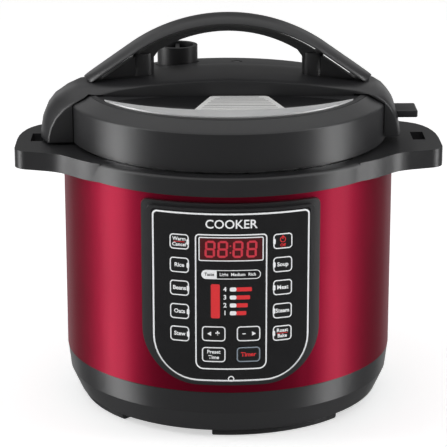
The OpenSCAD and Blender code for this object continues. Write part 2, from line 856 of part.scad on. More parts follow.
base_housing();
bottom_cover();
bottom_screws();
feet();
outer_shell();
collar();
pot_housing();
heat_shield();
heating_plate();
heater_terminals();
sensor_bracket();
pressure_switch();
thermal_fuse();
power_board();
control_board();
display_module();
panel_bezel();
panel_face();
display_window();
switch_membrane();
power_inlet();
inlet_screws();
collector_bracket();
thermal_sensor();
sensor_spring();
inner_pot();
sealing_ring();
ring_rack();
lid_cover();
inner_lid();
lid_disc();
silver_trim();
lid_label();
handle_base();
handle_grip();
handle_screws();
lid_screws();
exhaust_pipe();
pipe_nut();
anti_block_shield();
steam_knob();
float_valve();
float_seal();
dew_collector();
side_key(0, -1);  // key_left_1
side_key(1, -1);  // key_left_2
side_key(2, -1);  // key_left_3
side_key(3, -1);  // key_left_4
side_key(4, -1);  // key_left_5
side_key(0, 1);  // key_right_1
side_key(1, 1);  // key_right_2
side_key(2, 1);  // key_right_3
side_key(3, 1);  // key_right_4
side_key(4, 1);  // key_right_5
centre_key(0, -1);  // key_less
centre_key(0, 1);  // key_more
centre_key(1, -1);  // key_preset
centre_key(1, 1);  // key_timer
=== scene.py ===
"""Looks of an electric pressure cooker: crimson drum, charcoal mouldings, arched lid handle and a key panel.

Every length is in metres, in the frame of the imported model: +Z up, the control panel towards -Y.
"""

import json
import math

import bmesh
import bpy
from bpy.props import FloatProperty, FloatVectorProperty, PointerProperty
from mathutils import Matrix, Vector


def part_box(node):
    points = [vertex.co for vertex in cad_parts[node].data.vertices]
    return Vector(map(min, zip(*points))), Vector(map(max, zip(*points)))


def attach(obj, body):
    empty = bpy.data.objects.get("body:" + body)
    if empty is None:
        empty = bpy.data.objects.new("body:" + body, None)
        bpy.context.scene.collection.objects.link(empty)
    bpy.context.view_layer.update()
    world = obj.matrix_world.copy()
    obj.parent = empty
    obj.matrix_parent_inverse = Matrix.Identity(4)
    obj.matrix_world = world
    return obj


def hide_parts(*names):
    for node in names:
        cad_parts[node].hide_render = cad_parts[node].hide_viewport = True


bl_info = {
    "name": "Pressure Cooker Maker",
    "version": (1, 0, 0),
    "blender": (4, 5, 0),
    "location": "3D View > Sidebar > Cooker",
    "description": "Finishes the pieces of an electric pressure cooker and lights its stage",
    "category": "Add Mesh",
}

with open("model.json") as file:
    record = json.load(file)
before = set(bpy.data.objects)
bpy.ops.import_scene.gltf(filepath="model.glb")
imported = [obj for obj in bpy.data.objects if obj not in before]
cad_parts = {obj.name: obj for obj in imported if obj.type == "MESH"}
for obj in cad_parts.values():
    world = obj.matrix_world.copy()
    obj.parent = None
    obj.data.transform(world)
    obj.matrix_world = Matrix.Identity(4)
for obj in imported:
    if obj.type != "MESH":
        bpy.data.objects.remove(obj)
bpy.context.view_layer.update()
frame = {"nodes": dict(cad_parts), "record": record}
NODES = frame["nodes"]
BODY_OF = {node: body for body, nodes in frame["record"]["behaviour"]["bodies"].items() for node in nodes}
SLOT_OF = {row["node"]: row["material_slot"] for row in frame["record"]["subparts"]}
SLOTS = set(SLOT_OF.values())
MM = 0.001

FACE_R = -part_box("panel_face")[0].y
KEY_R = -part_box("key_less")[0].y / MM
SIDE_KEY_A, CENTRE_KEY_A = 16.4, 5.5
GRIP_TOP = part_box("handle_grip")[1].z / MM
GRIP_R, GRIP_ARC, GRIP_END = 134.0, math.radians(33.5), 113.0
TAB_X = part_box("handle_base")[1].x / MM


# ---------------------------------------------------------------- settings

class CookerLook(bpy.types.PropertyGroup):
    """Colours and finishes that a user would change."""

    shell_colour: FloatVectorProperty(
        name="Shell", description="Candy lacquer over bright metal flake", subtype="COLOR",
        default=(0.30, 0.004, 0.030), min=0, max=1)
    plastic_colour: FloatVectorProperty(
        name="Mouldings", description="Charcoal of the base, collar, lid and handle", subtype="COLOR",
        default=(0.019, 0.019, 0.0205), min=0, max=1)
    print_colour: FloatVectorProperty(
        name="Panel print", description="White ink of the outlines and legends", subtype="COLOR",
        default=(0.80, 0.81, 0.82), min=0, max=1)
    digit_colour: FloatVectorProperty(
        name="Digits", description="Light of the display's segments", subtype="COLOR",
        default=(0.52, 0.02, 0.04), min=0, max=1)


class CookerStage(bpy.types.PropertyGroup):
    """Where the camera and the lights stand."""

    camera_distance: FloatProperty(
        name="Distance", description="From the pot's axis to the camera, along the floor",
        subtype="DISTANCE", default=1.609)
    camera_height: FloatProperty(
        name="Height", description="Of the camera above the worktop", subtype="DISTANCE", default=0.611)
    camera_pitch: FloatProperty(
        name="Pitch", description="Below the horizon", subtype="ANGLE", default=math.radians(16.47))
    camera_yaw: FloatProperty(
        name="Yaw", description="Of the camera round the pot, towards its left side", subtype="ANGLE",
        default=math.radians(1.0))
    lens: FloatProperty(name="Lens", description="Focal length", unit="CAMERA", default=168.25)
    shift: FloatProperty(name="Shift", description="Sideways shift of the view", default=-0.010)


# ---------------------------------------------------------------- shader expressions

class Wire:
    """A socket of a material's node tree, with arithmetic: each operator adds a Math node."""

    def __init__(self, shop, socket):
        self.shop = shop
        self.socket = socket

    def _math(self, operation, *values):
        node = self.shop.node("ShaderNodeMath", {"operation": operation}, dict(enumerate(values)))
        return Wire(self.shop, node.outputs[0])

    def __add__(self, other): return self._math("ADD", self, other)
    def __radd__(self, other): return self._math("ADD", other, self)
    def __sub__(self, other): return self._math("SUBTRACT", self, other)
    def __rsub__(self, other): return self._math("SUBTRACT", other, self)
    def __mul__(self, other): return self._math("MULTIPLY", self, other)
    def __rmul__(self, other): return self._math("MULTIPLY", other, self)
    def __truediv__(self, other): return self._math("DIVIDE", self, other)
    def __pow__(self, other): return self._math("POWER", self, other)
    def __gt__(self, other): return self._math("GREATER_THAN", self, other)
    def __lt__(self, other): return self._math("LESS_THAN", self, other)
    def __abs__(self): return self._math("ABSOLUTE", self)
    def __mod__(self, other): return self._math("FLOORED_MODULO", self, other)


class Shop:
    """A new material with its Principled shader, and the few ways this file adds nodes to it."""

    def __init__(self, name, **settings):
        self.material = bpy.data.materials.new(name)
        self.material.use_nodes = True
        self.tree = self.material.node_tree
        self.shader = self.tree.nodes["Principled BSDF"]
        self.place = None
        self.set(**settings)

    def node(self, kind, settings=None, inputs=None):
        """Adds a node: its settings first, then a value or a wire for each named or numbered socket."""
        node = self.tree.nodes.new(kind)
        for key, value in (settings or {}).items():
            if key == "stops":
                ramp = node.color_ramp.elements
                while len(ramp) < len(value):
                    ramp.new(0.5)
                for stop, (position, colour) in zip(ramp, value):
                    stop.position = position
                    stop.color = colour
            else:
                setattr(node, key, value)
        for key, value in (inputs or {}).items():
            if isinstance(value, Wire):
                self.tree.links.new(value.socket, node.inputs[key])
            elif value is not None:
                node.inputs[key].default_value = value
        return node

    def set(self, **settings):
        """Sets or links the shader's own sockets: base_color=..., roughness=..."""
        for key, value in settings.items():
            socket = self.shader.inputs[key.replace("_", " ").title().replace("Ior", "IOR")]
            if isinstance(value, Wire):
                self.tree.links.new(value.socket, socket)
            else:
                is_colour = isinstance(value, tuple) and len(value) == 3
                socket.default_value = (*value, 1.0) if is_colour else value

    def at(self):
        """Object coordinates."""
        if self.place is None:
            self.place = Wire(self, self.node("ShaderNodeTexCoord").outputs["Object"])
        return self.place

    def axes(self):
        split = self.node("ShaderNodeSeparateXYZ", inputs={0: self.at()})
        return [Wire(self, split.outputs[i]) for i in range(3)]

    def stretched(self, scale):
        """Object coordinates stretched by a scale for each axis."""
        node = self.node("ShaderNodeMapping", inputs={"Vector": self.at(), "Scale": scale})
        return Wire(self, node.outputs[0])

    def noise(self, size, detail=2.0, where=None, rough=0.5):
        """Noise from 0 to 1 whose features are about size across."""
        node = self.node("ShaderNodeTexNoise", None, {
            "Vector": where or self.at(), "Scale": 1.0 / size, "Detail": detail, "Roughness": rough})
        return Wire(self, node.outputs[0])

    def cells(self, size, output="Distance"):
        node = self.node("ShaderNodeTexVoronoi", None, {"Vector": self.at(), "Scale": 1.0 / size})
        return Wire(self, node.outputs[output])

    def between(self, value, low, high, start=0.0, end=1.0, smooth=True):
        """value taken from the range low..high to start..end, and held there."""
        node = self.node("ShaderNodeMapRange",
                         {"interpolation_type": "SMOOTHSTEP" if smooth else "LINEAR"},
                         {0: value, 1: low, 2: high, 3: start, 4: end})
        return Wire(self, node.outputs[0])

    def mix(self, factor, first, second):
        """A colour between two colours."""
        wide = [(*c, 1.0) if isinstance(c, tuple) and len(c) == 3 else c for c in (first, second)]
        node = self.node("ShaderNodeMix", {"data_type": "RGBA"}, {0: factor, 6: wide[0], 7: wide[1]})
        return Wire(self, node.outputs[2])

    def bump(self, height, depth, strength=1.0):
        """Feeds a height from 0 to 1, depth metres deep, into the shader's normal."""
        node = self.node("ShaderNodeBump", None, {"Height": height, "Distance": depth, "Strength": strength})
        self.set(normal=Wire(self, node.outputs[0]))


# ---------------------------------------------------------------- materials

def moulded_plastic(name, colour, roughness=0.36, grain=0.00035, depth=0.00003):
    """Injection moulding: spark texture, slow drift of gloss and faint flow marks."""
    shop = Shop(name, specular_ior_level=0.7)
    drift = shop.noise(0.045, 3.0)
    fine = shop.noise(grain, 2.0, rough=0.6)
    shop.set(
        base_color=shop.mix(drift, tuple(c * 0.88 for c in colour), tuple(c * 1.14 for c in colour)),
        roughness=shop.between(drift * 0.7 + fine * 0.3, 0.25, 0.75, roughness - 0.035, roughness + 0.035))
    shop.bump(fine, depth)
    return shop.material


def candy_lacquer(name, colour):
    """Clear tinted lacquer over metal flake, with the faint orange peel of a sprayed drum."""
    shop = Shop(name, metallic=0.92, coat_weight=0.08, coat_roughness=0.2, coat_ior=1.5)
    flake = shop.cells(0.00045, "Color")
    tone = Wire(shop, shop.node("ShaderNodeSeparateColor", inputs={0: flake}).outputs[0])
    drift = shop.noise(0.05, 2.0)
    peel = shop.noise(0.0022, 1.0)
    shop.set(
        base_color=shop.mix(tone * 0.55 + drift * 0.45,
                            tuple(c * 0.80 for c in colour), tuple(min(1, c * 1.18) for c in colour)),
        roughness=shop.between(tone, 0.0, 1.0, 0.42, 0.52, smooth=False))
    shop.bump(peel, 0.000006)
    return shop.material


def brushed_metal(name, colour, roughness=0.3, around=True, metallic=1.0):
    """Fine turned lines round the axis, or straight ones along X."""
    shop = Shop(name, metallic=metallic)
    lines = shop.stretched((1, 1, 60) if around else (1.5, 60, 60))
    grain = shop.noise(0.02, 4.0, where=lines, rough=0.65)
    smear = shop.noise(0.03, 2.0)
    shop.set(
        base_color=shop.mix(grain, tuple(c * 0.86 for c in colour), tuple(min(1, c * 1.08) for c in colour)),
        roughness=shop.between(grain * 0.6 + smear * 0.4, 0.3, 0.7, roughness - 0.07, roughness + 0.07))
    shop.bump(grain, 0.000008)
    return shop.material


def gloss_plastic(name, colour, roughness=0.08):
    """Polished black: dust-fine haze and barely visible ripples."""
    shop = Shop(name, coat_weight=0.5, coat_roughness=0.03)
    haze = shop.noise(0.012, 3.0)
    speck = shop.cells(0.0009)
    shop.set(
        base_color=shop.mix(haze, tuple(c * 0.8 for c in colour), tuple(c * 1.25 for c in colour)),
        roughness=shop.between(haze * 0.7 + speck * 0.3, 0.2, 0.8, roughness - 0.03, roughness + 0.05))
    shop.bump(shop.noise(0.018, 1.0), 0.00001)
    return shop.material


def rubber(name, colour, roughness=0.6):
    shop = Shop(name, specular_ior_level=0.35)
    dust = shop.noise(0.006, 4.0)
    shop.set(
        base_color=shop.mix(dust, tuple(c * 0.75 for c in colour), tuple(min(1, c * 1.3) for c in colour)),
        roughness=shop.between(dust, 0.2, 0.8, roughness - 0.1, roughness + 0.1))
    shop.bump(shop.noise(0.0006, 2.0), 0.00004)
    return shop.material


def lit_print(name, colour, glow=0.0):
    """Ink with the uneven edge density of screen printing. A glow adds emission in the ink's tint: the
    display segments' own light, and a painted glow on plain printed ink.
    """
    shop = Shop(name, roughness=0.45)
    ink = shop.noise(0.0008, 2.0)
    tint = shop.mix(ink, tuple(c * 0.9 for c in colour), tuple(min(1, c * 1.06) for c in colour))
    shop.set(base_color=tint)
    # emission: a painted glow where the ink is plain print, which gives no light
    if glow:
        shop.set(emission_color=tint, emission_strength=glow)
    shop.bump(ink, 0.000006)
    return shop.material


def circuit_board(name, colour):
    """Solder resist with a grid of tracks and bright pads."""
    shop = Shop(name, coat_weight=0.4, coat_roughness=0.15)
    x, y, z = shop.axes()
    tracks = (abs((x * 400 + shop.noise(0.01)) % 2.0 - 1.0) < 0.3) * (shop.noise(0.012) > 0.45)
    pads = shop.cells(0.004) < 0.16
    shop.set(
        base_color=shop.mix(pads, shop.mix(tracks, colour, tuple(c * 1.8 for c in colour)), (0.6, 0.58, 0.5)),
        metallic=pads * 0.9,
        roughness=shop.between(pads, 0, 1, 0.4, 0.25))
    shop.bump(tracks + pads, 0.00003)
    return shop.material


def clear_plastic(name):
    """Water-clear styrene with flow ripples."""
    shop = Shop(name, base_color=(0.9, 0.93, 0.95), transmission_weight=0.85, ior=1.5)
    haze = shop.noise(0.01, 3.0)
    shop.set(roughness=shop.between(haze, 0.2, 0.8, 0.04, 0.16))
    shop.bump(shop.noise(0.008, 1.0), 0.00003)
    return shop.material


def label_paper(name, colour):
    shop = Shop(name, coat_weight=0.25, coat_roughness=0.2)
    fibre = shop.noise(0.0012, 4.0)
    shop.set(
        base_color=shop.mix(fibre, tuple(c * 0.95 for c in colour), tuple(min(1, c * 1.03) for c in colour)),
        roughness=shop.between(fibre, 0.3, 0.7, 0.42, 0.52))
    shop.bump(fibre, 0.00001)
    return shop.material


MATERIALS = {}


def make_materials(look):
    plastic = tuple(look.plastic_colour)
    MATERIALS.update({
        "charcoal_plastic": moulded_plastic("charcoal_plastic", plastic),
        "soft_black_plastic": moulded_plastic("soft_black_plastic", tuple(c * 0.6 for c in plastic), 0.45),
        "crimson_paint": candy_lacquer("crimson_paint", tuple(look.shell_colour)),
        "stainless": brushed_metal("stainless", (0.60, 0.60, 0.61), 0.26),
        "galvanised": brushed_metal("galvanised", (0.48, 0.49, 0.50), 0.42, around=False),
        "cast_aluminium": brushed_metal("cast_aluminium", (0.52, 0.52, 0.53), 0.45),
        "ceramic": gloss_plastic("ceramic", (0.72, 0.69, 0.62), 0.18),
        "circuit_board": circuit_board("circuit_board", (0.02, 0.14, 0.06)),
        "panel_black": gloss_plastic("panel_black", (0.009, 0.009, 0.010), 0.22),
        "key_black": moulded_plastic("key_black", (0.010, 0.010, 0.011), 0.34, 0.0003, 0.00001),
        "display_red": gloss_plastic("display_red", (0.085, 0.006, 0.008), 0.16),
        "gloss_black": gloss_plastic("gloss_black", (0.006, 0.006, 0.007), 0.07),
        "bright_trim": brushed_metal("bright_trim", (0.93, 0.94, 0.95), 0.42, around=False, metallic=0.5),
        "paper_label": label_paper("paper_label", (0.95, 0.95, 0.935)),
        "silicone": rubber("silicone", (0.62, 0.62, 0.59), 0.4),
        "foot_rubber": rubber("foot_rubber", (0.018, 0.018, 0.019)),
        "clear_plastic": clear_plastic("clear_plastic"),
        "membrane": moulded_plastic("membrane", (0.28, 0.29, 0.30), 0.4),
        # these two inks glow: a painted glow on print that gives no light of its own
        "panel_ink": lit_print("panel_ink", tuple(look.print_colour), 0.22),
        "scale_ink": lit_print("scale_ink", (0.66, 0.015, 0.02), 0.3),
        "key_ink_blue": lit_print("key_ink_blue", (0.30, 0.36, 0.42)),
        "label_ink": lit_print("label_ink", (0.13, 0.13, 0.135)),
        "digit_light": lit_print("digit_light", tuple(look.digit_colour), 0.35),
    })


# ---------------------------------------------------------------- modelling by hand

def v(x, y, z):
    """A point or a move given in millimetres."""
    return Vector((x, y, z)) * MM


def deselect():
    if bpy.context.mode != "OBJECT":
        bpy.ops.object.mode_set(mode="OBJECT")
    bpy.ops.object.select_all(action="DESELECT")


def hold(piece):
    """Makes piece the only selected object, and the active one."""
    deselect()
    piece.select_set(True)
    bpy.context.view_layer.objects.active = piece
    return piece


def edit(piece):
    hold(piece)
    bpy.ops.object.mode_set(mode="EDIT")


def rest():
    bpy.ops.object.mode_set(mode="OBJECT")


def pick(piece, kind, test):
    """Selects, in edit mode, the vertices, edges or faces that pass the test."""
    bpy.ops.mesh.select_mode(type=kind)
    bpy.ops.mesh.select_all(action="DESELECT")
    mesh = bmesh.from_edit_mesh(piece.data)
    for part in {"VERT": mesh.verts, "EDGE": mesh.edges, "FACE": mesh.faces}[kind]:
        if test(part):
            part.select_set(True)
    mesh.select_flush_mode()
    bmesh.update_edit_mesh(piece.data)


def middle(edge):
    return (edge.verts[0].co + edge.verts[1].co) / 2


def push(move):
    bpy.ops.mesh.extrude_region_move(TRANSFORM_OT_translate={"value": move})


def chain(name, points, closed=True):
    """Vertices drawn from point to point; a closed chain is filled. It stays in edit mode, all selected."""
    deselect()
    bpy.ops.mesh.primitive_plane_add(size=MM)
    piece = bpy.context.active_object
    piece.name = piece.data.name = name
    edit(piece)
    bpy.ops.mesh.merge(type="CENTER")
    bpy.ops.transform.translate(value=points[0])
    for here, there in zip(points, points[1:]):
        push(there - here)
    if closed:
        mesh = bmesh.from_edit_mesh(piece.data)
        mesh.verts.ensure_lookup_table()
        ends = {mesh.verts[0], mesh.verts[-1]}
        pick(piece, "VERT", lambda vert: vert in ends)
        bpy.ops.mesh.edge_face_add()
        bpy.ops.mesh.select_all(action="SELECT")
        bpy.ops.mesh.edge_face_add()
    return piece


def tidy_faces(piece):
    """Merges doubled vertices and turns every face outwards, in edit mode."""
    bpy.ops.mesh.select_all(action="SELECT")
    bpy.ops.mesh.remove_doubles(threshold=0.000002)
    bpy.ops.mesh.normals_make_consistent(inside=False)


def slab(name, outline, y0, y1):
    """An outline of (x, z) in millimetres, extruded from y0 to y1."""
    piece = chain(name, [v(x, y0, z) for x, z in outline])
    push(v(0, y1 - y0, 0))
    tidy_faces(piece)
    rest()
    return piece


def turned(name, profile, steps=96, about=(0, 0)):
    """A closed profile of (radius, height) in millimetres, spun round a vertical axis."""
    piece = chain(name, [v(about[0] + r, about[1], z) for r, z in profile])
    bpy.ops.mesh.delete(type="ONLY_FACE")
    bpy.ops.mesh.select_all(action="SELECT")
    bpy.ops.mesh.spin(steps=steps, angle=2 * math.pi, center=v(*about, 0), axis=(0, 0, 1))
    tidy_faces(piece)
    rest()
    return piece


def modify(piece, kind, **settings):
    """Adds a modifier to the held piece and applies it."""
    hold(piece)
    modifier = piece.modifiers.new(kind.lower(), kind)
    for key, value in settings.items():
        setattr(modifier, key, value)
    bpy.ops.object.modifier_apply(modifier=modifier.name)


def soften(piece, width, segments=2, angle=30):
    """Rounds the piece's sharp edges by width, in millimetres."""
    modify(piece, "BEVEL", width=width * MM, segments=segments, limit_method="ANGLE",
           angle_limit=math.radians(angle), use_clamp_overlap=True, miter_outer="MITER_ARC")


def place(piece, location=(0, 0, 0), rotation=(0, 0, 0), scale=(1, 1, 1)):
    """Puts the piece there and applies its place, so that its object is back at the origin."""
    hold(piece)
    piece.location, piece.rotation_euler, piece.scale = location, rotation, scale
    bpy.ops.object.transform_apply(location=True, rotation=True, scale=True)
    return piece


def join(name, pieces):
    hold(pieces[0])
    for piece in pieces:
        piece.select_set(True)
    bpy.ops.object.join()
    pieces[0].name = pieces[0].data.name = name
    return pieces[0]


def twin(piece, name):
    """A copy of the piece with its own mesh."""
    hold(piece)
    bpy.ops.object.duplicate()
    copy = bpy.context.active_object
    copy.name = copy.data.name = name
    return copy


def paint(piece, slot):
    piece.data.materials.clear()
    piece.data.materials.append(MATERIALS[slot])
    return piece


def fit(piece, body, slot, *nodes, angle=32):
    """Shades the finished piece, gives it its material and body, and lets it stand for its nodes."""
    hold(piece)
    bpy.ops.object.shade_smooth_by_angle(angle=math.radians(angle))
    paint(piece, slot)
    slot in SLOTS
    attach(piece, body)
    if nodes:
        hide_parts(*nodes)
    return piece


def worked(node, name, width=0.5, segments=2, angle=30, shade=32):
    """A merged copy of a node with its edges broken, which stands for the node."""
    piece = bpy.data.objects.new(name, NODES[node].data.copy())
    bpy.context.scene.collection.objects.link(piece)
    piece.data.name = name
    edit(piece)
    bpy.ops.mesh.select_all(action="SELECT")
    bpy.ops.mesh.remove_doubles(threshold=0.000002)
    bpy.ops.mesh.dissolve_limited(angle_limit=math.radians(0.4))
    rest()
    if width:
        soften(piece, width, segments, angle)
    fit(piece, BODY_OF[node], SLOT_OF[node], node, angle=shade)
    modify(piece, "WEIGHTED_NORMAL", keep_sharp=True, weight=100)
    return piece


# ---------------------------------------------------------------- printing on curved faces

def helper_drum(radius):
    """A smooth drum that prints are laid on; it is removed once they are."""
    deselect()
    bpy.ops.mesh.primitive_cylinder_add(vertices=720, radius=radius, depth=0.4, end_fill_type="NOTHING",
                                        location=(0, 0, 0.1))
    return bpy.context.active_object


def lay(piece, radius, thickness=0.05):
    """Lays a flat print, drawn in front of the drum, on a drum of that radius, and gives it a body."""
    drum = helper_drum(radius * MM)
    modify(piece, "SHRINKWRAP", target=drum, wrap_method="PROJECT", use_project_y=True,
           use_project_x=False, use_project_z=False,
           use_positive_direction=True, use_negative_direction=False)
    modify(piece, "SOLIDIFY", thickness=thickness * MM, offset=1.0)
    bpy.data.objects.remove(drum, do_unlink=True)
    return piece


PRINT_Y = -150


def sheet_at(name, half_x, z0, z1, r_top=0.0, r_bottom=0.0, x=0.0, segments=6):
    """A flat upright sheet in front of the drum with rounded corners. It stays in edit mode."""
    deselect()
    bpy.ops.mesh.primitive_plane_add(size=1)
    piece = bpy.context.active_object
    piece.name = piece.data.name = name
    place(piece, v(x, PRINT_Y, (z0 + z1) / 2), (math.pi / 2, 0, 0), (2 * half_x * MM, (z1 - z0) * MM, 1))
    edit(piece)
    centre = (z0 + z1) / 2 * MM
    for radius, side in ((r_top, 1), (r_bottom, -1)):
        if radius:
            pick(piece, "VERT", lambda vert: (vert.co.z - centre) * side > 0.25 * (z1 - z0) * MM)
            bpy.ops.mesh.bevel(offset=radius * MM, segments=segments, affect="VERTICES")
    bpy.ops.mesh.select_all(action="SELECT")
    return piece


def sliced(piece, step=2.0):
    """Cuts the sheet into upright strips, so that it can follow a curve; leaves edit mode."""
    xs = [vert.co.x for vert in bmesh.from_edit_mesh(piece.data).verts]
    x = min(xs) + step * MM
    while x < max(xs):
        bpy.ops.mesh.select_all(action="SELECT")
        bpy.ops.mesh.bisect(plane_co=(x, 0, 0), plane_no=(1, 0, 0))
        x += step * MM
    rest()
    return piece


def outline_at(name, width, *where, step=2.0, **more):
    """A printed line of that width round a rounded rectangle."""
    piece = sheet_at(name, *where, **more)
    bpy.ops.mesh.select_mode(type="FACE")
    bpy.ops.mesh.inset(thickness=width * MM)
    bpy.ops.mesh.delete(type="FACE")
    return sliced(piece, step)


def patch_at(name, *where, step=2.0, **more):
    return sliced(sheet_at(name, *where, **more), step)


def words_at(body, size, x, z, bold=0.04):
    """Plain lettering in front of the drum, as a flat mesh."""
    deselect()
    bpy.ops.object.text_add()
    text = bpy.context.active_object
    text.data.body = body
    text.data.size = size * MM
    text.data.offset = bold * MM
    text.data.align_x = "CENTER"
    text.data.align_y = "CENTER"
    text.data.resolution_u = 3
    bpy.ops.object.convert(target="MESH")
    return place(bpy.context.active_object, v(x, PRINT_Y, z), (math.pi / 2, 0, 0))


def triangle_at(x, z, size, turn):
    deselect()
    bpy.ops.mesh.primitive_circle_add(vertices=3, radius=size * MM, fill_type="NGON")
    return place(bpy.context.active_object, v(x, PRINT_Y, z), (math.pi / 2, turn, 0))


# ---------------------------------------------------------------- operators

class COOKER_OT_finishes(bpy.types.Operator):
    """Give every moulding, pressing and casting its material"""

    bl_idname = "cooker.finishes"
    bl_label = "Finishes"

    def execute(self, context):
        make_materials(context.scene.cooker_look)
        for name, node in NODES.items():
            node.data.materials.clear()
            node.data.materials.append(MATERIALS[SLOT_OF[name]])
        return {"FINISHED"}


class COOKER_OT_body(bpy.types.Operator):
    """Round the edges of the feet, the collar and the lid's mouldings"""

    bl_idname = "cooker.body"
    bl_label = "Feet, collar and lid"

    def execute(self, context):
        worked("feet", "foot_pads", 0.8)
        worked("collar", "collar_moulding", 0.6, 2, shade=50)
        worked("lid_cover", "lid_moulding", 0.45)
        worked("lid_disc", "lid_inset", 0.25)
        worked("silver_trim", "lid_crescent", 0.3)
        worked("steam_knob", "steam_handle", 0.9, 3)
        worked("dew_collector", "dew_cup", 0.3)
        worked("collector_bracket", "dew_rail", 0.4)
        worked("power_inlet", "mains_socket", 0.4)
        worked("float_valve", "float_pin", 0.4)
        worked("inner_pot", "cooking_pot", 0)
        return {"FINISHED"}


class COOKER_OT_handle(bpy.types.Operator):
    """Sweep the grip over its arch and raise the arch, posts and saddle under it"""

    bl_idname = "cooker.handle"
    bl_label = "Lid handle"

    # the saddle's outline at its front edge and along its crown, in millimetres
    EDGE = ((-140.5, 211), (-140, 216), (-138, 222.8), (-134.2, 229.9), (-127.8, 237.1), (-120.7, 242.2),
            (-112, 247), (-86, 253), (-60, 256.4), (-29, 259), (0, 260), (29, 259), (60, 256.8),
            (99.7, 251.9), (113.8, 247.9), (120.9, 243.4), (125.9, 238), (128.8, 233), (130.7, 227.2),
            (132.5, 217), (132.7, 215))
    CROWN = ((-147.5, 211), (-147.3, 216.5), (-145.7, 226.3), (-141.9, 235.4), (-136.4, 242.5), (-127.1, 249),
             (-117.3, 253.4), (-90, 256.3), (-60, 258.9), (-30, 261.2), (0, 262.3), (30, 261.2), (60, 258.9),
             (96, 255.3), (115.2, 253.2), (121.6, 249.4), (126, 244.6), (129.6, 239.2), (133.5, 226.8),
             (134.4, 221.6), (135.6, 215))
    # how far out each section stands, and how much of the crown it has
    SECTIONS = ((0, 1.0), (8, 0.98), (14, 0.88), (20, 0.64), (25, 0.37), (28, 0.18), (30.2, 0.06),
                (31.5, 0.0), (32, 0.0))
    # how far the outermost sections draw in, and the half width and height that they are shrunk by it
    ROUNDING = {31.5: 0.45, 32: 1.4}
    HALF_WIDTH, HEIGHT, FOOT_Z = 133, 49, 0.211
    SKIRT_ROOM_R = 125.2

    def execute(self, context):
        self.grip(context.scene.cooker_look)
        self.saddle()
        return {"FINISHED"}

    def grip(self, look):
        section = [(0, 0), (-5, 0.25), (-9.5, 1.1), (-13, 2.4), (-15.4, 3.8), (-16.6, 4.9), (-17, 5.7),
                   (-16.7, 6.2), (16.7, 6.2), (17, 5.7), (16.6, 4.9), (15.4, 3.8), (13, 2.4), (9.5, 1.1),
                   (5, 0.25)]
        piece = chain("grip_cover", [v(0, y, GRIP_TOP - drop) for y, drop in section])
        bpy.ops.mesh.delete(type="ONLY_FACE")
        centre = v(0, 0, GRIP_TOP - GRIP_R)
        bpy.ops.mesh.select_all(action="SELECT")
        bpy.ops.transform.rotate(value=GRIP_ARC, orient_axis="Y", center_override=centre)
        near = min(vert.co.x for vert in bmesh.from_edit_mesh(piece.data).verts)
        sign = -1 if near < 0 else 1
        bpy.ops.mesh.spin(steps=36, angle=2 * GRIP_ARC, center=centre, axis=(0, sign, 0))
        for side in (-1, 1):
            mesh = bmesh.from_edit_mesh(piece.data)
            rim = [e for e in mesh.edges if e.is_boundary and middle(e).x * side > 0]
            keep = set(rim)
            pick(piece, "EDGE", lambda edge: edge in keep)
            slope = GRIP_ARC + math.radians(1.4)
            along = Vector((side * math.cos(slope), 0, -math.sin(slope)))
            reach = (GRIP_END - GRIP_R * math.sin(GRIP_ARC)) / math.cos(slope)
            gone = 0.0
            for share, narrow in ((0.35, 0.985), (0.6, 0.975), (0.76, 0.955), (0.87, 0.92), (0.94, 0.86),
                                  (0.98, 0.74), (1.0, 0.55)):
                push(along * (share - gone) * reach * MM)
                gone = share
                bpy.ops.transform.resize(value=(1, narrow, 1))
            bpy.ops.mesh.edge_face_add()
        tidy_faces(piece)
        rest()
        fit(piece, "lid", "charcoal_plastic", "handle_grip", angle=40)

    def saddle(self):
        arch = self.line(6.4, 106)
        under = [(x, 187.7 + math.sqrt(104.9 ** 2 - x * x)) for x in range(66, -67, -6)]
        band = slab("arch", arch + [(86, 253.6)] + under + [(-86, 253.6)], -16, 16)
        soften(band, 1.2, 3, 40)
        web = slab("web", [(-104, 252)] + [(x, z - 4) for x, z in arch[2:-2]]
                   + [(104, 252), (72, 252), (66, 262)]
                   + [(x, z + 1) for x, z in under[2:-2]] + [(-66, 262), (-72, 252)], -6, 6)
        posts = []
        for side in (-1, 1):
            posts.append(turned("post", [(2.2, 252), (8.5, 252), (8.5, 276), (2.2, 276)], 40,
                                (side * 66.5, 0)))
        rings = []
        for y, share in self.SECTIONS:
            for side in ((-1, 1) if y else (1,)):
                points = [v(e[0] + (c[0] - e[0]) * share, side * y, e[1] + (c[1] - e[1]) * share)
                          for e, c in zip(self.EDGE, self.CROWN)]
                if y in self.ROUNDING:
                    inset = self.ROUNDING[y]
                    points = [Vector((p.x * (1 - inset / self.HALF_WIDTH), p.y,
                                      self.FOOT_Z + (p.z - self.FOOT_Z) * (1 - inset / self.HEIGHT)))
                              for p in points]
                rings.append(chain("ring", points, closed=False))
                rest()
        saddle = join("saddle", rings)
        edit(saddle)
        bpy.ops.mesh.select_all(action="SELECT")
        bpy.ops.mesh.convex_hull(join_triangles=True)
        tidy_faces(saddle)
        rest()
        room = turned("room", [(0.5, 190), (self.SKIRT_ROOM_R, 190), (self.SKIRT_ROOM_R, 240.5),
                               (123.9, 241.7), (112.5, 248.7),
                               (101.8, 248.7), (101.8, 245.3), (0.5, 245.3)], 144)
        modify(saddle, "BOOLEAN", object=room, operation="DIFFERENCE", solver="EXACT")
        bpy.data.objects.remove(room, do_unlink=True)
        tab = slab("tab", [(130, 225.2), (TAB_X, 225.2), (TAB_X, 231.2), (130, 231.2)], -13, 13)
        soften(tab, 1.2, 3)
        piece = join("handle_saddle", [saddle, band, web, tab, *posts])
        fit(piece, "lid", "charcoal_plastic", "handle_base", angle=35)

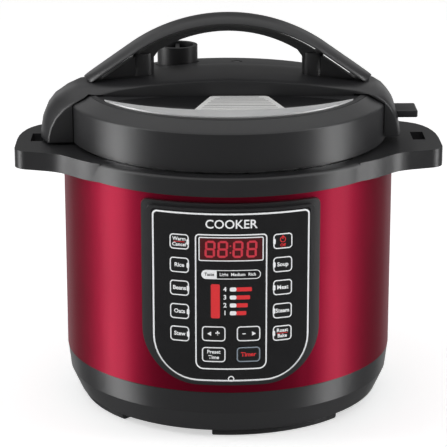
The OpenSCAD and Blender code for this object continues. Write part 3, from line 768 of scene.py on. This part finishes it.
    def line(self, drop, end_x):
        r = GRIP_R - drop
        tip_x, tip_z = r * math.sin(GRIP_ARC), GRIP_TOP - GRIP_R + r * math.cos(GRIP_ARC)
        low = tip_z - (end_x - tip_x) * math.tan(GRIP_ARC + math.radians(1.4))
        crown = [(r * math.sin(GRIP_ARC * i / 16), GRIP_TOP - GRIP_R + r * math.cos(GRIP_ARC * i / 16))
                 for i in range(-16, 17)]
        return [(-end_x, low)] + crown + [(end_x, low)]


class COOKER_OT_panel(bpy.types.Operator):
    """Fit the panel's frame, and print on its face the outlines, scale and display"""

    bl_idname = "cooker.panel"
    bl_label = "Control panel"

    def execute(self, context):
        worked("panel_bezel", "panel_frame", 0.8, 3)
        window_low, window_high = (corner.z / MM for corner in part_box("display_window"))
        window_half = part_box("display_window")[1].x / MM
        white = [
            outline_at("border", 1.25, 58.6, 51.6, 183, 4, 33, segments=10),
            outline_at("frame", 1.0, 26.8, 61, 167, 3, 6),
            outline_at("display_edge", 0.8, window_half + 0.8, window_low - 0.8, window_high + 0.8, 1.3, 1.3),
            outline_at("taste", 0.55, 22.1, 132.3, 139.4, 3.5, 3.5, segments=6),
            self.half_pill("taste_end", 22.1, 132.3, 139.4, 3.5, -10.7, 1),
            words_at("COOKER", 9.4, 0, 174.4, 0.12),
            words_at("Light", 3.3, -5.4, 135.9, 0.07),
            words_at("Medium", 3.3, 5.2, 135.9, 0.07),
            words_at("Rich", 3.3, 15.6, 135.9, 0.07),
            outline_at("notch", 0.8, 2.4, 51.2, 56.0, 2.4, 2.4),
        ]
        red = [patch_at("level", 3.35, 101.7, 128.4, 1.2, 1.2, x=-11.75, segments=3)]
        for row, (z, reach) in enumerate(((124.4, 15.4), (118.1, 14.1), (111.9, 12.4), (105.8, 11.3))):
            white.append(words_at(str(4 - row), 4.8, -4.6, z, 0.14))
            white.append(patch_at("step", 2.45, z - 1.6, z + 1.6, 1.0, 1.0, x=1.45, segments=3))
            red.append(patch_at("bar", (reach - 3.9) / 2, z - 1.6, z + 1.6, 0.8, 0.8,
                                x=(reach + 3.9) / 2, segments=3))
        self.ink("panel_print", white, "panel_ink")
        self.ink("panel_scale", red, "scale_ink")
        dark = [words_at("Taste", 3.3, -16.2, 135.9, 0.06)]
        self.ink("panel_dark_print", dark, "key_black", FACE_R / MM + 0.1)
        self.digits()
        return {"FINISHED"}

    def half_pill(self, name, half_x, z0, z1, r, cut_x, side):
        """The part of a rounded sheet on one side of cut_x."""
        piece = sheet_at(name, half_x, z0, z1, r, r)
        bpy.ops.mesh.bisect(plane_co=(cut_x * MM, 0, 0), plane_no=(side, 0, 0), clear_outer=True)
        bpy.ops.mesh.select_all(action="SELECT")
        return sliced(piece)

    def ink(self, name, parts, slot, radius=None):
        piece = lay(join(name, parts), radius or FACE_R / MM + 0.02)
        fit(piece, "cooker", slot)

    def digits(self):
        """Seven bars for each of four figures, and the colon between the pairs."""
        bar = slab("bar", [(-2.95, 0), (-2.1, 0.85), (2.1, 0.85), (2.95, 0), (2.1, -0.85), (-2.1, -0.85)],
                   PRINT_Y, PRINT_Y + 0.02)
        middle_z = (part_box("display_window")[0].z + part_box("display_window")[1].z) / 2 / MM
        bars = []
        for x in (-15.6, -6.3, 5.0, 15.3):
            for dx, dz, upright in ((0, 5.7, 0), (0, 0, 0), (0, -5.7, 0), (-3.05, 2.85, 1), (3.05, 2.85, 1),
                                    (-3.05, -2.85, 1), (3.05, -2.85, 1)):
                part = twin(bar, "bar")
                hold(part)
                part.location = v(x + dx + dz * 0.07, 0, middle_z + dz)
                part.rotation_euler = (0, math.pi / 2 * upright, 0)
                bpy.ops.object.transform_apply(location=True, rotation=True, scale=True)
                bars.append(part)
        for dz in (-2.6, 2.6):
            bars.append(patch_at("dot", 0.6, middle_z + dz - 0.6, middle_z + dz + 0.6, 0.4, 0.4,
                                 x=-0.6, segments=3))
        bpy.data.objects.remove(bar, do_unlink=True)
        piece = lay(join("display_figures", bars), FACE_R / MM + 0.13, 0.03)
        fit(piece, "cooker", "digit_light")


class COOKER_OT_keys(bpy.types.Operator):
    """Round the key caps and print a line and a legend on each"""

    bl_idname = "cooker.keys"
    bl_label = "Keys"

    LEGENDS = {
        "key_left_1": "Warm\nCancel", "key_left_2": "Rice", "key_left_3": "Beans", "key_left_4": "Oats",
        "key_left_5": "Stew", "key_right_1": "", "key_right_2": "Soup", "key_right_3": "Meat",
        "key_right_4": "Steam", "key_right_5": "Roast\nBake", "key_less": "+", "key_more": "-",
        "key_preset": "Preset\nTime", "key_timer": "Timer",
    }
    WIDE = ("key_less", "key_more", "key_preset", "key_timer")

    def execute(self, context):
        for node, legend in self.LEGENDS.items():
            self.cap(node, legend)
            worked(node, node + "_cap", 0.3)
        return {"FINISHED"}

    def cap(self, node, legend):
        low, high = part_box(node)
        side = -1 if low.x + high.x < 0 else 1
        wide = node in self.WIDE
        turn = math.radians(side * (CENTRE_KEY_A if wide else SIDE_KEY_A))
        half_x, half_z = (9.05, 6.15) if wide else (7.6, 6.15)
        z = (low.z + high.z) / 2 / MM
        pale, red = [], []
        pale.append(outline_at("line", 0.85, half_x - 0.2, z - half_z + 0.25, z + half_z - 0.25, 2.7, 2.7,
                               segments=6))
        lines = legend.split("\n")
        if node == "key_less":
            pale += [triangle_at(-2.9, z, 2.0, -math.pi / 2), words_at("+", 6.6, 2.9, z + 0.3, 0.15)]
        elif node == "key_more":
            pale += [patch_at("dash", 1.3, z - 0.35, z + 0.35, x=-3.4), triangle_at(3.6, z, 2.0, math.pi / 2)]
        elif node == "key_right_1":
            red += [outline_at("ring", 0.6, 2.3, z - 1.0, z + 3.6, 2.25, 2.25, segments=8),
                    patch_at("stroke", 0.4, z + 1.6, z + 4.4), words_at("Off", 3.2, 0, z - 3.2, 0.08)]
        elif len(lines) == 2:
            pale += [words_at(line, 3.9, 0, z + rise, 0.1) for line, rise in zip(lines, (2.1, -2.2))]
            if not wide:
                red.append(patch_at("rule", 4.2, z - 0.3, z + 0.15))
        elif node == "key_timer":
            red.append(words_at(legend, 4.6, 0, z, 0.12))
        else:
            pale.append(words_at(legend, 4.4, 0, z, 0.12))
        if not wide:
            pale.append(patch_at("lamp", 1.0, z - 2.2, z + 2.2, 0.95, 0.95,
                                 x=-side * (half_x - 1.0), segments=5))
        for parts, name, slot in ((pale, "_print", "key_ink_blue" if node == "key_timer" else "panel_ink"),
                                  (red, "_red_print", "scale_ink")):
            if parts:
                print_ = lay(join(node + name, parts), KEY_R + (0.02 if parts is pale else 0.03))
                place(print_, rotation=(0, 0, turn))
                fit(print_, BODY_OF[node], slot)


class COOKER_OT_label(bpy.types.Operator):
    """Lay the lid's label, with plain ruled lines"""

    bl_idname = "cooker.label"
    bl_label = "Lid label"

    def execute(self, context):
        worked("lid_label", "care_label", 0)
        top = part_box("lid_label")[1].z
        lines = []
        for row, (y, half) in enumerate(((-38.5, 15), (-43, 19), (-47.5, 20), (-52, 22), (-57, 24), (-62, 25),
                                         (-67.5, 27), (-73, 28.5), (-78.5, 29.5))):
            deselect()
            bpy.ops.mesh.primitive_plane_add(size=1)
            line = bpy.context.active_object
            height = 0.9 if row % 3 else 1.5
            place(line, Vector((8 * MM, y * MM, top)), (0, 0, 0), (2 * half * MM, height * MM, 1))
            edit(line)
            bpy.ops.mesh.subdivide(number_cuts=3)
            push(v(0, 0, 0.03))
            tidy_faces(line)
            rest()
            lines.append(line)
        fit(join("label_lines", lines), "lid", "label_ink")
        return {"FINISHED"}


class COOKER_OT_spring(bpy.types.Operator):
    """Coil the sensor's spring"""

    bl_idname = "cooker.spring"
    bl_label = "Sensor spring"

    def execute(self, context):
        deselect()
        low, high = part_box("sensor_spring")
        wire, coil_r = 0.8, 9.6
        turns, height = 4.5, (high.z - low.z) / MM - 2 * wire
        bpy.ops.mesh.primitive_circle_add(vertices=10, radius=wire * MM, rotation=(math.pi / 2, 0, 0),
                                          location=v(coil_r, 0, low.z / MM + wire))
        piece = bpy.context.active_object
        piece.name = piece.data.name = "sensor_coil"
        hold(piece)
        bpy.ops.object.transform_apply(location=True, rotation=True, scale=True)
        steps = int(32 * turns)
        modify(piece, "SCREW", axis="Z", angle=2 * math.pi * turns, screw_offset=height * MM, steps=steps,
               render_steps=steps, use_merge_vertices=False, use_smooth_shade=True)
        edit(piece)
        bpy.ops.mesh.select_mode(type="EDGE")
        bpy.ops.mesh.select_all(action="DESELECT")
        bpy.ops.mesh.select_non_manifold()
        bpy.ops.mesh.edge_face_add()
        tidy_faces(piece)
        rest()
        fit(piece, BODY_OF["sensor_spring"], "stainless", "sensor_spring")
        return {"FINISHED"}


class COOKER_OT_stage(bpy.types.Operator):
    """Lay the floor and place the lights and the camera"""

    bl_idname = "cooker.stage"
    bl_label = "Stage"

    def execute(self, context):
        stage = context.scene.cooker_stage
        deselect()
        bpy.ops.mesh.primitive_plane_add(size=16, location=(0, 2, 0))
        floor = context.active_object
        floor.name = "floor"
        pale = Shop("pale_floor", roughness=0.6, emission_strength=0.62)
        grain = pale.noise(0.4, 3.0)
        tint = pale.mix(grain, (0.86, 0.86, 0.86), (0.89, 0.89, 0.89))
        pale.set(base_color=tint, emission_color=tint)
        floor.data.materials.append(pale.material)
        floor.visible_glossy = False
        context.scene.view_settings.view_transform = "Standard"
        world = bpy.data.worlds.new("studio")
        world.use_nodes = True
        world.node_tree.nodes["Background"].inputs[0].default_value = (1, 1, 1, 1)
        world.node_tree.nodes["Background"].inputs[1].default_value = 0.15
        context.scene.world = world
        self.softbox("strip_left", -84, 1.5, 0.60, 2.8, 4.2)
        self.softbox("strip_right", 78, 1.5, 0.53, 2.8, 4.2)
        self.softbox("rim_left", -152, 2.2, 0.9, 2.8, 0.45)
        self.softbox("rim_right", 152, 2.2, 0.9, 2.8, 0.45)
        self.softbox("overhead", 0, 0.0, 6.0, 6.0, 0.6, height=3.2)
        self.camera(stage)
        return {"FINISHED"}

    def softbox(self, name, azimuth, distance, width, tall, radiance, height=0.2):
        """A rectangular lamp of even brightness at an azimuth about the pot's axis, facing the pot."""
        a = math.radians(azimuth)
        spot = Vector((distance * math.sin(a), -distance * math.cos(a), height))
        bpy.ops.object.light_add(type="AREA", location=spot)
        lamp = bpy.context.active_object
        lamp.name = name
        lamp.data.shape = "RECTANGLE"
        lamp.data.size = width
        lamp.data.size_y = tall
        lamp.data.energy = radiance * width * tall * math.pi
        target = Vector((0, 0, height if distance else 0))
        lamp.rotation_euler = (target - spot).to_track_quat("-Z", "Y").to_euler()
        return lamp

    def camera(self, stage):
        yaw, reach = stage.camera_yaw, stage.camera_distance
        bpy.ops.object.camera_add(
            location=(-reach * math.sin(yaw), -reach * math.cos(yaw), stage.camera_height))
        camera = bpy.context.active_object
        camera.name = "camera"
        tilt = Matrix.Rotation(math.pi / 2 - stage.camera_pitch, 4, "X")
        camera.rotation_euler = (Matrix.Rotation(-yaw, 4, "Z") @ tilt).to_euler()
        camera.data.lens = stage.lens
        camera.data.sensor_width = 36
        camera.data.shift_x = stage.shift
        camera.data.clip_end = 50
        bpy.context.scene.camera = camera


class COOKER_PT_steps(bpy.types.Panel):
    """Lists the steps in the sidebar."""

    bl_label = "Pressure Cooker"
    bl_idname = "COOKER_PT_steps"
    bl_space_type = "VIEW_3D"
    bl_region_type = "UI"
    bl_category = "Cooker"

    def draw(self, context):
        for step in STEPS:
            self.layout.operator(step.bl_idname)


STEPS = (COOKER_OT_finishes, COOKER_OT_body, COOKER_OT_handle, COOKER_OT_panel, COOKER_OT_keys,
         COOKER_OT_label, COOKER_OT_spring, COOKER_OT_stage)
CLASSES = (CookerLook, CookerStage, *STEPS, COOKER_PT_steps)


def register():
    for cls in CLASSES:
        bpy.utils.register_class(cls)
    bpy.types.Scene.cooker_look = PointerProperty(type=CookerLook)
    bpy.types.Scene.cooker_stage = PointerProperty(type=CookerStage)


def unregister():
    del bpy.types.Scene.cooker_stage
    del bpy.types.Scene.cooker_look
    for cls in reversed(CLASSES):
        bpy.utils.unregister_class(cls)


def main():
    register()
    bpy.ops.cooker.finishes()
    bpy.ops.cooker.body()
    bpy.ops.cooker.handle()
    bpy.ops.cooker.panel()
    bpy.ops.cooker.keys()
    bpy.ops.cooker.label()
    bpy.ops.cooker.spring()
    bpy.ops.cooker.stage()


if __name__ == "__main__":
    main()
